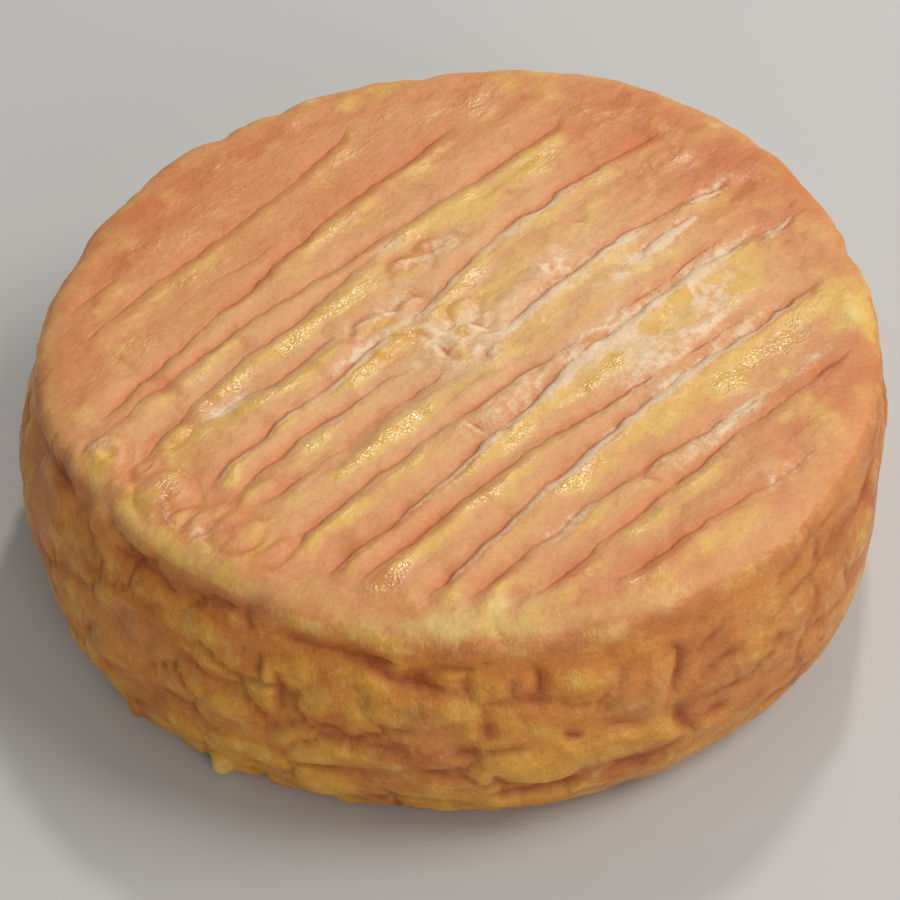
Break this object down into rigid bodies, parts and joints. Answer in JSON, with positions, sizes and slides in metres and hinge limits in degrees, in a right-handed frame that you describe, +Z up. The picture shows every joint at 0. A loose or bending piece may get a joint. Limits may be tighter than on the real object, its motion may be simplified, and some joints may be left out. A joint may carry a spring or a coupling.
{
  "type": "epoisses cheese",
  "caption": "Whole low round of soft washed-rind cheese, with a full rounded wall, a soft rim and long folds across its top.",
  "frame": {"origin": "middle of the footprint, at the height of the flat underside", "axes": "+Z up through the top; +X along the long folds of the top"},
  "size_m": [0.1114, 0.1086, 0.0322],
  "materials": {
    "rind": "moist, softly glossy orange rind with ochre crests and a whitish bloom in its folds"
  },
  "bodies": {
    "root": {"cheese": "rind"}
  },
  "joints": []
}
